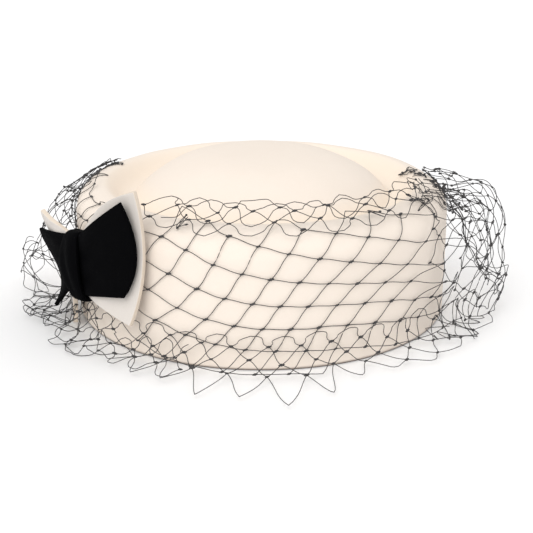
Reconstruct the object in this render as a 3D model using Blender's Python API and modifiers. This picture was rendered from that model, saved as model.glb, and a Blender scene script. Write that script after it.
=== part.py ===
"""A felt pillbox hat with a veil of diamond net and a two-layer felt bow.

The crown is one blocked felt shell, turned round the hat's upright axis: a straight wall, a rounded
shoulder, a ridge, a narrow sunk channel and a low dome. The bow is two bow-tie shapes cut from felt,
laid on each other and pinched by a felt band, and it is sewn to the wall over the veil. The veil is
one net. It hugs the front of the crown, flares just above the ground, and puffs out at both sides,
where it is gathered to the ridge.

Metres, +Z up. -Y is the veil's front, and the bow sits on the -X side, turned towards the front. The
origin is on the ground, under the middle of the whole outline.
"""

import math

import bmesh
import bpy
import numpy as np

# Crown
CROWN_WIDTH = 0.190
RIDGE_HEIGHT = 0.066
SHOULDER_RADIUS = 0.0142
CHANNEL_WIDTH = 0.0150
CHANNEL_DEPTH = 0.0085
DOME_RISE = 0.0145
DOME_FULLNESS = 3.1
DOME_FOOT = 0.92
CHANNEL_LEAN = 1.3
CROWN_FELT = 0.0024
CROWN_SIDES = 56

# Bow
BOW_TURN = math.radians(28.6)
BOW_GROUND = 0.0058
BOW_LEAN = math.radians(9.0)
PINCH_HEIGHT = 0.0276
IVORY_FELT = 0.0024
BLACK_FELT = 0.0020
BAND_FELT = 0.0020
BAND_WIDTH = 0.0180
BAND_BULGE = 0.0022
BAND_FOLD = 0.0007
BAND_FOLDS = 2
LAYER_GAP = 0.0004
BAND_CLEAR = 0.0012
BAND_CORNER = 0.0020

# Veil
STRAND = 0.0011
NET_CELL = 0.0218
NET_CORNER = math.radians(68.0)
NET_SKEW = math.radians(-12.0)
VEIL_GAP = 0.0006
VEIL_ROOM = 0.0009
VEIL_WIDTH = 0.104
VEIL_PUFF = 0.0335
VEIL_FLARE = 0.0280
FLARE_HEIGHT = 0.0120
HEM_HEIGHT = 0.0016
# The hugging section's start off the wall, in strand gaps, and its bend: shares of the reach and the rise.
FLARE_START = 1.2
FLARE_BEND = (0.36, 0.12)
TOP_LIFT = 0.0046
GATHER_TURN = math.radians(22.0)
GATHER_SHARE = 0.22

# Each lobe's outer edge. The reach of each point is along the wall from the bow's middle, the rise is
# up from it, and the stand is out from the wall, all as shares of that layer's own size.
IVORY_SIZE = 0.060
BLACK_SIZE = 0.052
IVORY_LOBES = {
    "front": {"low": (0.84, -0.28, 0.16), "middle": (0.93, 0.24, 0.08), "high": (0.87, 0.77, 0.14)},
    "back": {"low": (-0.30, -0.49, 0.19), "middle": (-0.80, -0.12, 0.08), "high": (-0.64, 0.28, 0.28)},
}
BLACK_LOBES = {
    "front": {"low": (0.85, -0.12, 0.22), "middle": (1.00, 0.33, 0.17), "high": (0.86, 0.77, 0.26)},
    "back": {"low": (-0.46, -0.55, 0.30), "middle": (-0.86, -0.14, 0.16), "high": (-0.68, 0.14, 0.375)},
}
LOBE_STEPS = 8
IVORY_ACROSS = 12
BLACK_ACROSS = 10

# Where the veil stands off the wall: its turn in degrees from the front or from the bow's back edge,
# how far it is puffed out, and how far its hem reaches as a share of the flare.
VEIL_STATIONS = (
    ("left gather", "bow", -26, 1.00, 1.20),
    ("left puff", "bow", -11, 1.00, 1.20),
    ("behind the bow", "bow", -1, 0.00, 1.10),
    ("under the bow", "front", -60, 0.00, 0.96),
    ("front left", "front", -42, 0.00, 0.80),
    ("front left hollow", "front", -24, 0.00, 0.80),
    ("front left point", "front", -13, 0.00, 1.16),
    ("front", "front", -3, 0.00, 1.06),
    ("front right point", "front", 5, 0.00, 1.40),
    ("front right hollow", "front", 26, 0.00, 0.62),
    ("right", "front", 50, 0.00, 0.92),
    ("right side", "front", 66, 0.30, 1.05),
    ("right puff", "front", 84, 1.00, 1.20),
    ("right gather", "front", 108, 1.00, 1.20),
)
# The puffed sides of the veil from its top edge to its hem: out from the wall as a share of the puff,
# and height as a share of the ridge's, for the left side and then for the right.
PUFF_ROWS = (
    ("top edge", -0.36, 1.05, -0.36, 1.05),
    ("over the ridge", -0.12, 1.01, -0.06, 1.03),
    ("top of the puff", 0.10, 0.90, 0.43, 1.01),
    ("upper turn", 0.43, 0.74, 0.74, 0.88),
    ("upper side", 0.66, 0.53, 0.88, 0.71),
    ("side", 0.84, 0.36, 0.88, 0.48),
    ("lower side", 0.95, 0.22, 0.94, 0.24),
    ("lower turn", 1.02, 0.10, 1.00, 0.10),
    ("hem", 1.04, 0.024, 1.02, 0.024),
)

IVORY = (0.93, 0.85, 0.76, 1.0)
BOW_IVORY = (0.90, 0.87, 0.83, 1.0)
BLACK = (0.012, 0.012, 0.014, 1.0)
NET_BLACK = (0.02, 0.02, 0.022, 1.0)
FELT_ROUGHNESS = 0.93
THREAD_ROUGHNESS = 0.6

LOWEST_RISE = min(IVORY_LOBES["back"]["low"][1] * IVORY_SIZE, BLACK_LOBES["back"]["low"][1] * BLACK_SIZE)
BOW_HEIGHT = BOW_GROUND + IVORY_FELT / 2 - LOWEST_RISE
CROWN_RADIUS = CROWN_WIDTH / 2
RIDGE_RADIUS = CROWN_RADIUS - SHOULDER_RADIUS
SHOULDER_HEIGHT = RIDGE_HEIGHT - SHOULDER_RADIUS


def clear_scene():
    for obj in list(bpy.data.objects):
        bpy.data.objects.remove(obj, do_unlink=True)


def plain_material(name, colour, roughness):
    material = bpy.data.materials.new(name)
    material.use_nodes = True
    shader = material.node_tree.nodes["Principled BSDF"]
    shader.inputs["Base Color"].default_value = colour
    shader.inputs["Roughness"].default_value = roughness
    shader.inputs["Metallic"].default_value = 0.0
    return material


def add_object(name, mesh, material, collection, middle):
    """A smooth-shaded object of this mesh, on the empty that holds the whole hat."""
    obj = bpy.data.objects.new(name, mesh)
    mesh.materials.append(material)
    mesh.shade_smooth()
    collection.objects.link(obj)
    obj.parent = middle
    return obj


def thicken(obj, thickness, offset):
    wall = obj.modifiers.new("thickness", "SOLIDIFY")
    wall.thickness = thickness
    wall.offset = offset
    wall.use_even_offset = True
    wall.use_rim = True


def smooth_step(share):
    share = np.clip(share, 0.0, 1.0)
    return share * share * (3.0 - 2.0 * share)


def curve_through(points, count):
    """Evenly spaced points on the smooth curve through these, with round tangents at each of them."""
    points = np.asarray(points, float)
    ends = np.vstack([2 * points[0] - points[1], points, 2 * points[-1] - points[-2]])
    at = np.linspace(0, len(points) - 1, 40 * (len(points) - 1) + 1)
    span = np.minimum(at.astype(int), len(points) - 2)
    t = (at - span)[:, None]
    a, b, c, d = (ends[span + k] for k in range(4))
    fine = 0.5 * (2 * b + (c - a) * t + (2 * a - 5 * b + 4 * c - d) * t**2 + (3 * b - a - 3 * c + d) * t**3)
    along = np.concatenate([[0.0], np.cumsum(np.linalg.norm(np.diff(fine, axis=0), axis=1))])
    wanted = np.linspace(0, along[-1], count)
    return np.column_stack([np.interp(wanted, along, fine[:, k]) for k in range(fine.shape[1])])


def top_height(radius):
    """Height of the crown's outer surface inside the ridge: the dome, its foot and the sunk channel."""
    foot = RIDGE_RADIUS - CHANNEL_WIDTH
    floor = RIDGE_HEIGHT - CHANNEL_DEPTH
    rise = DOME_RISE + CHANNEL_DEPTH
    share = np.clip(radius / foot, 0.0, 1.0)
    dome = floor + rise * (1.0 - share**DOME_FULLNESS) ** DOME_FOOT
    climb = np.clip((radius - foot) / CHANNEL_WIDTH, 0.0, 1.0)
    side = floor + CHANNEL_DEPTH * (0.5 - 0.5 * np.cos(math.pi * climb**CHANNEL_LEAN))
    return np.where(radius < foot, dome, side)


def shoulder_point(degrees, radius):
    """Radius and height of the point this far from the middle of the shoulder's curve, at this angle up."""
    angle = math.radians(degrees)
    return RIDGE_RADIUS + radius * math.cos(angle), SHOULDER_HEIGHT + radius * math.sin(angle)


def crown_profile():
    """Radius and height down the crown's outside, from the dome's middle to the rim."""
    foot = RIDGE_RADIUS - CHANNEL_WIDTH
    shares = (0.0, 0.22, 0.44, 0.62, 0.78, 0.90, 0.98)
    rows = [(share * foot, float(top_height(np.array(share * foot)))) for share in shares]
    for share in (0.16, 0.42, 0.66, 0.85):
        radius = foot + share * CHANNEL_WIDTH
        rows.append((radius, float(top_height(np.array(radius)))))
    for degrees in (90, 66, 44, 22, 0):
        rows.append(shoulder_point(degrees, SHOULDER_RADIUS))
    rows.append((CROWN_RADIUS, SHOULDER_HEIGHT * 0.5))
    rows.append((CROWN_RADIUS, 0.0))
    return rows


def make_crown(collection, middle):
    rows = crown_profile()
    mesh = bpy.data.meshes.new("crown")
    edges = [(k, k + 1) for k in range(len(rows) - 1)]
    mesh.from_pydata([(radius, 0.0, height) for radius, height in rows], edges, [])
    material = plain_material("ivory_felt", IVORY, FELT_ROUGHNESS)
    crown = add_object("crown", mesh, material, collection, middle)
    turn = crown.modifiers.new("turned", "SCREW")
    turn.steps = turn.render_steps = CROWN_SIDES
    turn.use_merge_vertices = True
    turn.merge_threshold = 0.00001
    turn.use_smooth_shade = True
    thicken(crown, CROWN_FELT, -1.0)


def on_wall(reach, height, stand):
    """World points at this reach along the wall from the bow's middle, this height and this far off it."""
    angle = BOW_TURN + reach / (CROWN_RADIUS + stack_stands()[2])
    radius = CROWN_RADIUS + stand
    return np.column_stack([-radius * np.cos(angle), -radius * np.sin(angle), height])


def stack_stands():
    """How far off the wall the back of the band, both layers and the front of the band have their middles."""
    band_back = VEIL_GAP + STRAND + VEIL_ROOM + BAND_FELT / 2
    ivory = band_back + BAND_FELT / 2 + LAYER_GAP + IVORY_FELT / 2
    black = ivory + IVORY_FELT / 2 + LAYER_GAP + BLACK_FELT / 2
    band_front = black + BLACK_FELT / 2 + LAYER_GAP + BAND_FELT / 2
    return band_back, ivory, black, band_front


def lobe_edge(rows, size, across):
    """Points across a lobe's outer edge: a bowed curve through its low corner, middle and high corner."""
    low, middle, high = (np.array(rows[name]) * size for name in ("low", "middle", "high"))
    across = across[:, None]
    return middle + (high - low) / 2 * across + ((high + low) / 2 - middle) * across**2


def leaning(along, across):
    """Reach and rise of these lengths along the bow and across it, as the whole bow leans."""
    reach = along * math.cos(BOW_LEAN) - across * math.sin(BOW_LEAN)
    rise = along * math.sin(BOW_LEAN) + across * math.cos(BOW_LEAN)
    return reach, rise


def bow_layer(name, lobes, size, stand, across_count):
    """One felt layer as a grid: flat in the band, then straight lines fanning out to each lobe's edge."""
    grid = bmesh.new()
    bmesh.ops.create_grid(grid, x_segments=2 * LOBE_STEPS, y_segments=across_count, size=1.0)
    grid.verts.ensure_lookup_table()
    places = np.array([vert.co[:] for vert in grid.verts])
    side = np.sign(places[:, 0])
    column = np.abs(places[:, 0]) * LOBE_STEPS
    across = places[:, 1]
    held = np.minimum(column, 1.0) * BAND_WIDTH / 2
    start = np.column_stack([*leaning(side * held, across * PINCH_HEIGHT / 2), np.full_like(across, stand)])
    front = lobe_edge(lobes["front"], size, across)
    back = lobe_edge(lobes["back"], size, across)
    edge = np.where(side[:, None] > 0, front, back)
    out = np.clip((column - 1.0) / (LOBE_STEPS - 1.0), 0.0, 1.0)[:, None]
    point = start + (edge - start) * out
    world = on_wall(point[:, 0], BOW_HEIGHT + point[:, 1], point[:, 2])
    for vert, place in zip(grid.verts, world):
        vert.co = place
    mesh = bpy.data.meshes.new(name)
    grid.to_mesh(mesh)
    grid.free()
    return mesh


def make_bow_layers(collection, middle):
    _, ivory_stand, black_stand, _ = stack_stands()
    layers = (
        ("ivory_bow", IVORY_LOBES, IVORY_SIZE, ivory_stand, IVORY_ACROSS, IVORY_FELT, BOW_IVORY),
        ("black_bow", BLACK_LOBES, BLACK_SIZE, black_stand, BLACK_ACROSS, BLACK_FELT, BLACK),
    )
    for name, lobes, size, stand, across_count, felt, colour in layers:
        mesh = bow_layer(name, lobes, size, stand, across_count)
        material = plain_material(name + "_felt", colour, FELT_ROUGHNESS)
        layer = add_object(name, mesh, material, collection, middle)
        thicken(layer, felt, 0.0)


def band_path():
    """The band's way round the stack, across the bow and off the wall: a rounded box with a full front."""
    back, _, _, front = stack_stands()
    half = PINCH_HEIGHT / 2 + BAND_FELT / 2 + BAND_CLEAR
    corner = BAND_CORNER
    straight = half - corner
    points = []
    for centre_across, centre_stand, first in (
        (straight, back + corner, -90),
        (straight, front - corner, 0),
        (-straight, front - corner, 90),
        (-straight, back + corner, 180),
    ):
        for degrees in (first, first + 30, first + 60, first + 90):
            angle = math.radians(degrees)
            points.append((centre_across + corner * math.cos(angle), centre_stand + corner * math.sin(angle)))
        if first == 0:
            points += [(straight * share, front) for share in (0.6, 0.3, 0.0, -0.3, -0.6)]
        if first == 180:
            points += [(straight * share, back) for share in (-0.5, 0.0, 0.5)]
    path = np.array(points)
    front_share = np.clip((path[:, 1] - back) / (front - back), 0.0, 1.0)
    full = np.clip(1.0 - (path[:, 0] / half) ** 2, 0.0, 1.0)
    path[:, 1] += BAND_BULGE * full * front_share
    return path, front_share


def make_band(collection, middle):
    """The felt band round the bow's middle, a closed ring with soft folds along its front."""
    path, front_share = band_path()
    count = len(path)
    columns = 4 * BAND_FOLDS + 1
    along = np.linspace(-BAND_WIDTH / 2, BAND_WIDTH / 2, columns)
    fold = BAND_FOLD * (0.5 - 0.5 * np.cos(2 * math.pi * BAND_FOLDS * (along / BAND_WIDTH + 0.5)))
    stand = path[:, 1][:, None] + fold[None, :] * front_share[:, None]
    across = np.repeat(path[:, :1], columns, axis=1)
    reach, rise = leaning(np.tile(along, count), across.ravel())
    world = on_wall(reach, BOW_HEIGHT + rise, stand.ravel())
    faces = []
    for row in range(count):
        following = (row + 1) % count
        for column in range(columns - 1):
            near, far = row * columns + column, following * columns + column
            faces.append((near, near + 1, far + 1, far))
    mesh = bpy.data.meshes.new("bow_band")
    mesh.from_pydata(world.tolist(), [], faces)
    material = plain_material("band_felt", BLACK, FELT_ROUGHNESS)
    band = add_object("bow_band", mesh, material, collection, middle)
    thicken(band, BAND_FELT, 0.0)


def strand_room(radius):
    """How far the middle of a strand stays off a round form, as its half-cell lengths are straight."""
    return STRAND / 2 + VEIL_GAP + (NET_CELL / 2) ** 2 / (8 * radius)


def hugging_rows(reach):
    """The veil's section where it hugs the crown, from its top edge to a hem that reaches this far out."""
    gap = strand_room(CROWN_RADIUS)
    round_gap = strand_room(SHOULDER_RADIUS)
    rows = [(RIDGE_RADIUS + STRAND, RIDGE_HEIGHT + TOP_LIFT)]
    for degrees in (66, 38, 12):
        rows.append(shoulder_point(degrees, SHOULDER_RADIUS + round_gap))
    for share in (0.80, 0.50):
        rows.append((CROWN_RADIUS + gap, SHOULDER_HEIGHT * share))
    rows.append((CROWN_RADIUS + gap * FLARE_START, FLARE_HEIGHT))
    bend_height = HEM_HEIGHT + (FLARE_HEIGHT - HEM_HEIGHT) * FLARE_BEND[1]
    rows.append((CROWN_RADIUS + reach * FLARE_BEND[0], bend_height))
    rows.append((CROWN_RADIUS + reach, HEM_HEIGHT))
    return np.array(rows)


def puffed_rows(turn):
    """The veil's section where it stands off the crown, on the left or the right side."""
    first = 1 if turn < 0 else 3
    out = np.array([row[first] for row in PUFF_ROWS])
    up = np.array([row[first + 1] for row in PUFF_ROWS])
    return np.column_stack([CROWN_RADIUS + out * VEIL_PUFF, up * RIDGE_HEIGHT])


def station_turns():
    """The stations' turns in degrees from the front."""
    ivory_reach = -IVORY_LOBES["back"]["middle"][0] * IVORY_SIZE
    black_reach = -BLACK_LOBES["back"]["middle"][0] * BLACK_SIZE
    bow_radius = CROWN_RADIUS + stack_stands()[2]
    back_edge = math.degrees(BOW_TURN - max(ivory_reach, black_reach) / bow_radius) - 90.0
    return [turn + (back_edge if start == "bow" else 0.0) for _, start, turn, _, _ in VEIL_STATIONS]


def veil_section(turn, count=200):
    """Radius and height down the veil at this turn from the front, in evenly spaced points."""
    turns = station_turns()
    degrees = math.degrees(turn)
    after = min(max(int(np.searchsorted(turns, degrees)), 1), len(turns) - 1)
    puff_a, reach_a = VEIL_STATIONS[after - 1][3:]
    puff_b, reach_b = VEIL_STATIONS[after][3:]
    share = float(smooth_step((degrees - turns[after - 1]) / (turns[after] - turns[after - 1])))
    puff = puff_a + (puff_b - puff_a) * share
    reach = VEIL_FLARE * (reach_a + (reach_b - reach_a) * share)
    section = curve_through(hugging_rows(reach) * (1 - puff) + puffed_rows(turn) * puff, count)
    first, last = math.radians(turns[0]), math.radians(turns[-1])
    inward = min(max(min(turn - first, last - turn) / GATHER_TURN, 0.0), 1.0)
    opened = math.sin(inward * math.pi / 2)
    bunched = curve_through(hugging_rows(reach), round(count / GATHER_SHARE))[:count]
    return bunched * (1 - opened) + section * opened


def veil_place(turn, share):
    """World point of the veil at this turn and this share of its width below the top edge."""
    section = veil_section(turn)
    at = share * (len(section) - 1)
    radius = np.interp(at, np.arange(len(section)), section[:, 0])
    height = np.interp(at, np.arange(len(section)), section[:, 1])
    return (radius * math.sin(turn), -radius * math.cos(turn), height)


def make_veil(collection, middle):
    """The net: a skewed grid of diamonds laid over the veil's form, each cut through to its strands."""
    first, last = (math.radians(station_turns()[k]) for k in (0, -1))
    length = (last - first) * (CROWN_RADIUS + VEIL_FLARE / 2)
    net = bmesh.new()
    across_cells = 2 * math.ceil(length / NET_CELL)
    down_cells = 2 * math.ceil((VEIL_WIDTH + length * math.sin(abs(NET_SKEW))) / NET_CELL)
    bmesh.ops.create_grid(net, x_segments=across_cells, y_segments=down_cells, size=1.0)
    for vert in net.verts:
        near, far = vert.co.x * across_cells / 2 * NET_CELL, vert.co.y * down_cells / 2 * NET_CELL
        vert.co.x = near * math.cos(NET_SKEW) + far * math.cos(NET_SKEW + NET_CORNER)
        vert.co.y = near * math.sin(NET_SKEW) + far * math.sin(NET_SKEW + NET_CORNER)
    outside = []
    for face in net.faces:
        centre = face.calc_center_median()
        if abs(centre.x) > length / 2 or abs(centre.y) > VEIL_WIDTH / 2:
            outside.append(face)
    bmesh.ops.delete(net, geom=outside, context="FACES")
    for edge in list(net.edges):
        bmesh.utils.edge_split(edge, edge.verts[0], 0.5)
    flat = np.array([vert.co[:2] for vert in net.verts])
    low, high = flat.min(axis=0), flat.max(axis=0)
    for vert in net.verts:
        turn = first + (last - first) * (vert.co.x - low[0]) / (high[0] - low[0])
        share = (high[1] - vert.co.y) / (high[1] - low[1])
        vert.co = veil_place(turn, share)
    net.normal_update()
    gaps = list(net.faces)
    bmesh.ops.inset_individual(net, faces=gaps, thickness=STRAND / 2, use_even_offset=True)
    bmesh.ops.delete(net, geom=gaps, context="FACES")
    mesh = bpy.data.meshes.new("veil")
    net.to_mesh(mesh)
    net.free()
    material = plain_material("net_thread", NET_BLACK, THREAD_ROUGHNESS)
    veil = add_object("veil", mesh, material, collection, middle)
    thicken(veil, STRAND, 0.0)


def centre_over_origin(middle):
    """Moves the empty so that the origin is on the ground under the middle of the whole outline."""
    bpy.context.view_layer.update()
    graph = bpy.context.evaluated_depsgraph_get()
    corners = []
    for obj in middle.children:
        mesh = obj.evaluated_get(graph).to_mesh()
        points = np.empty(3 * len(mesh.vertices), np.float32)
        mesh.vertices.foreach_get("co", points)
        corners.append(points.reshape(-1, 3).min(axis=0))
        corners.append(points.reshape(-1, 3).max(axis=0))
        obj.evaluated_get(graph).to_mesh_clear()
    low, high = np.min(corners, axis=0), np.max(corners, axis=0)
    middle.location = (-(low[0] + high[0]) / 2, -(low[1] + high[1]) / 2, -low[2])


def main():
    clear_scene()
    collection = bpy.data.collections.new("pillbox_hat")
    bpy.context.scene.collection.children.link(collection)
    middle = bpy.data.objects.new("hat_middle", None)
    collection.objects.link(middle)
    make_crown(collection, middle)
    make_bow_layers(collection, middle)
    make_band(collection, middle)
    make_veil(collection, middle)
    centre_over_origin(middle)
    bpy.context.view_layer.update()


main()
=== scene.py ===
"""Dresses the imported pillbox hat: blocked ivory felt, a two-layer felt bow and a knotted diamond net.

Metres, +Z up. -Y is the veil's front, and the bow sits on the -X side, turned towards the front.
"""

import math

import bpy
import numpy as np
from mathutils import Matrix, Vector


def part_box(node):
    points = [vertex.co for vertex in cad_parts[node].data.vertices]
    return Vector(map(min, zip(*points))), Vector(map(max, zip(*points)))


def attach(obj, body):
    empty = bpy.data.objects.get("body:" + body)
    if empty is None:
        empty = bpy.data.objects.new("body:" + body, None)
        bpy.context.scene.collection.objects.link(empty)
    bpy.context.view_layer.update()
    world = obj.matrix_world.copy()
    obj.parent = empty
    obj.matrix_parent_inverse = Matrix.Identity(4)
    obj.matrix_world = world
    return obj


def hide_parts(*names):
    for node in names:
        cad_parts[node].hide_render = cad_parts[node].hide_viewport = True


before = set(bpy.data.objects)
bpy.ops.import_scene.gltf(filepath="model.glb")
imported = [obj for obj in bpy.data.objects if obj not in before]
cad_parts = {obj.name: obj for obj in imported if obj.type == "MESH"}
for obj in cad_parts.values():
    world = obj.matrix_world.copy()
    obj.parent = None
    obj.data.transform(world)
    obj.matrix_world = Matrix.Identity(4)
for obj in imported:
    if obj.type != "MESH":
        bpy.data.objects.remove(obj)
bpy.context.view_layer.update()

bl_info = {
    "name": "Pillbox hat with a net veil",
    "version": (1, 0, 0),
    "blender": (4, 5, 0),
    "location": "View3D > Sidebar > Hat",
    "description": "Makes the felt crown, the felt bow, the net veil and the studio round them",
    "category": "Object",
}

CROWN_LOW, CROWN_HIGH = (np.array(corner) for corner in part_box("crown"))
AXIS = (CROWN_LOW[:2] + CROWN_HIGH[:2]) / 2
# Keeps a vector of no length from dividing by nought.
TINY = 1e-12


# Numbers.


def smooth_step(share):
    """Rises from 0 to 1 with a level start and end: 3 t squared minus 2 t cubed."""
    share = np.clip(share, 0.0, 1.0)
    return share * share * (3.0 - 2.0 * share)


def unit(vectors):
    """The same directions at length one."""
    return vectors / (np.linalg.norm(vectors, axis=-1, keepdims=True) + TINY)


def cubic_pieces(corners, at):
    """Points on the smooth curve through the corners, read at these corner numbers: cubic pieces, with the
    tangent at each corner along the line between its neighbours. Each end gets one mirrored corner."""
    first = 2 * corners[..., :1, :] - corners[..., 1:2, :]
    last = 2 * corners[..., -1:, :] - corners[..., -2:-1, :]
    ends = np.concatenate([first, corners, last], axis=-2)
    span = np.minimum(at.astype(int), corners.shape[-2] - 2)
    t = (at - span)[:, None]
    a, b, c, d = (ends[..., span + k, :] for k in range(4))
    return 0.5 * (2 * b + (c - a) * t + (2 * a - 5 * b + 4 * c - d) * t**2 + (3 * b - a - 3 * c + d) * t**3)


def curve_through(points, count, pieces=40):
    """Evenly spaced points on the smooth curve through these."""
    points = np.asarray(points, float)
    spans = len(points) - 1
    return evenly(cubic_pieces(points, np.linspace(0, spans, pieces * spans + 1)), count)


def evenly(points, count):
    """The same line read at equal lengths."""
    along = np.concatenate([[0.0], np.cumsum(np.linalg.norm(np.diff(points, axis=0), axis=1))])
    wanted = np.linspace(0, along[-1], count)
    return np.column_stack([np.interp(wanted, along, points[:, k]) for k in range(points.shape[1])])


def waves(seed, across, along, longest, shortest, count=14):
    """Smooth unevenness over two lengths: a sum of sine waves of random direction, length and phase,
    between about -1 and 1."""
    rng = np.random.default_rng(seed)
    total = np.zeros(np.broadcast(across, along).shape)
    for _ in range(count):
        heading = rng.uniform(0, 2 * math.pi)
        pitch = 2 * math.pi / math.exp(rng.uniform(math.log(shortest), math.log(longest)))
        phase = rng.uniform(0, 2 * math.pi)
        total += np.sin(pitch * (across * math.cos(heading) + along * math.sin(heading)) + phase)
    return total / math.sqrt(count / 2) / 2


# Meshes.


def grid_faces(rows, columns, close_rows=False, close_columns=False):
    """Corner numbers of the quads of a grid of points stored row after row."""
    row = np.arange(rows if close_rows else rows - 1)[:, None]
    column = np.arange(columns if close_columns else columns - 1)[None, :]
    next_row, next_column = (row + 1) % rows, (column + 1) % columns
    corners = (
        row * columns + column,
        row * columns + next_column,
        next_row * columns + next_column,
        next_row * columns + column,
    )
    return np.stack(np.broadcast_arrays(*corners), axis=-1).reshape(-1, 4)


def capped_rings(rings, sides):
    """Quads between closed rings stored one after another, and the triangles that close the first and the
    last ring to the two points stored after them."""
    here = np.arange(sides)
    following = (here + 1) % sides
    last, tip = (rings - 1) * sides, np.full(sides, rings * sides)
    fans = [
        np.column_stack([following, here, tip]),
        np.column_stack([last + here, last + following, tip + 1]),
    ]
    return grid_faces(rings, sides, close_columns=True), np.vstack(fans)


def put_object(name, points, faces, material, lengths=None):
    """A smooth-shaded object of these points and faces, with its own UV map where lengths gives one."""
    mesh = bpy.data.meshes.new(name)
    mesh.from_pydata(points.tolist(), [], faces.tolist() if isinstance(faces, np.ndarray) else faces)
    mesh.materials.append(material)
    mesh.shade_smooth()
    if lengths is not None:
        layer = mesh.uv_layers.new(name="along")
        corner = np.empty(len(mesh.loops), np.int32)
        mesh.loops.foreach_get("vertex_index", corner)
        layer.data.foreach_set("uv", lengths[corner].astype(np.float32).ravel())
    mesh.update()
    obj = bpy.data.objects.new(name, mesh)
    bpy.context.scene.collection.objects.link(obj)
    return obj


def rings_across(heading, sides, first_size=1.0, second_size=1.0):
    """Vectors to the points of a ring that stands across each heading: the cosine of the angle along one
    square axis and its sine along the other, each times its size."""
    guide = np.where(np.abs(heading[..., 2:3]) > 0.9, [1.0, 0.0, 0.0], [0.0, 0.0, 1.0])
    first = unit(np.cross(heading, guide))
    second = np.cross(heading, first)
    angle = (np.arange(sides) * 2 * math.pi / sides)[:, None]
    ring = first[..., None, :] * np.cos(angle) * first_size
    return ring + second[..., None, :] * np.sin(angle) * second_size


def tubes(paths, radius, sides):
    """Points, faces and lengths of round threads carried along many paths of equal point counts: at each
    point a ring of that radius stands across the path's direction. One face closes each end."""
    count, steps, _ = paths.shape
    points = paths[:, :, None] + rings_across(unit(np.gradient(paths, axis=1)), sides) * radius
    travelled = np.cumsum(np.linalg.norm(np.diff(paths, axis=1), axis=2), axis=1)
    along = np.concatenate([np.zeros((count, 1)), travelled], axis=1)
    lengths = np.stack(np.broadcast_arrays(along[:, :, None], np.arange(sides) / sides), axis=-1)
    first = (np.arange(count) * steps * sides)[:, None]
    quads = grid_faces(steps, sides, close_columns=True) + first[..., None]
    start = np.arange(sides) + first
    end = start[:, ::-1] + (steps - 1) * sides
    faces = quads.reshape(-1, 4).tolist() + start.tolist() + end.tolist()
    return points.reshape(-1, 3), faces, lengths.reshape(-1, 2)


# Materials.

# The channel's warm ring of painted bounce light: its way in from the ridge and its half width, as shares of
# the channel's width.
RING_PLACE, RING_WIDTH = 0.72, 0.95
# Above this height the ring sets in, over this rise.
CHANNEL_FROM, CHANNEL_EASE = 0.052, 0.005
# The warm colour of the channel's ring: painted bounce light between the channel's walls.
CHANNEL_PAINTED_BOUNCE_LIGHT = (0.88, 0.775, 0.665)
# A painted contact shadow along the crown's rim on the ground: the height it reaches up to, and its dark
# colour.
RIM_PAINTED_SHADOW_HEIGHT, RIM_PAINTED_SHADOW = 0.001923, (0.12, 0.09, 0.075)
# The ivory bow's cut edge: a lighter, warmer copy of the felt, as painted warm light on the edge.
CUT_EDGE_PAINTED_LIGHT = (0.80, 0.71, 0.61)
# The thread's lighter tone: painted light on the plies' crests, and the real tone of random flecks.
THREAD_CREST_AND_FLECK = (0.05, 0.048, 0.05)
TWISTS_PER_METRE = 900.0
# Each felt's second shade, the weight and the tint of its nap, and its gloss, fuzz and grain.
FELTS = {
    "ivory_wool_felt": ((0.83, 0.735, 0.645), 0.10, (1.0, 0.96, 0.9), 0.2, 0.45, 1.2),
    "bow_ivory_wool_felt": ((0.64, 0.59, 0.545), 0.12, (1.0, 1.0, 1.0), 0.2, 0.45, 1.2),
    # The cut edge's felt: a lighter, warmer copy of the ivory, painted as lit.
    "ivory_felt_cut_edge_painted_light": ((0.72, 0.62, 0.51), 0.10, (1.0, 0.96, 0.9), 0.2, 0.5, 1.2),
    "black_wool_felt": ((0.0010, 0.0010, 0.0014), 0.006, (0.6, 0.64, 0.7), 0.02, 0.7, 0.6),
}


class Signal:
    """A socket of a node tree that adds Math nodes when it is used in an expression."""

    def __init__(self, tree, socket):
        self.tree = tree
        self.socket = socket

    def _math(self, operation, first, second):
        return self.tree.node("ShaderNodeMath", {"operation": operation}, {0: first, 1: second}).out(0)

    def __add__(self, other):
        return self._math("ADD", self, other)

    def __sub__(self, other):
        return self._math("SUBTRACT", self, other)

    def __rsub__(self, other):
        return self._math("SUBTRACT", other, self)

    def __mul__(self, other):
        return self._math("MULTIPLY", self, other)

    def __pow__(self, other):
        return self._math("POWER", self, other)

    __radd__, __rmul__ = __add__, __mul__


class Node:
    """A made node, whose outputs are read as signals."""

    def __init__(self, tree, node):
        self.tree = tree
        self.made = node

    def out(self, key):
        return Signal(self.tree, self.made.outputs[key])


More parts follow.
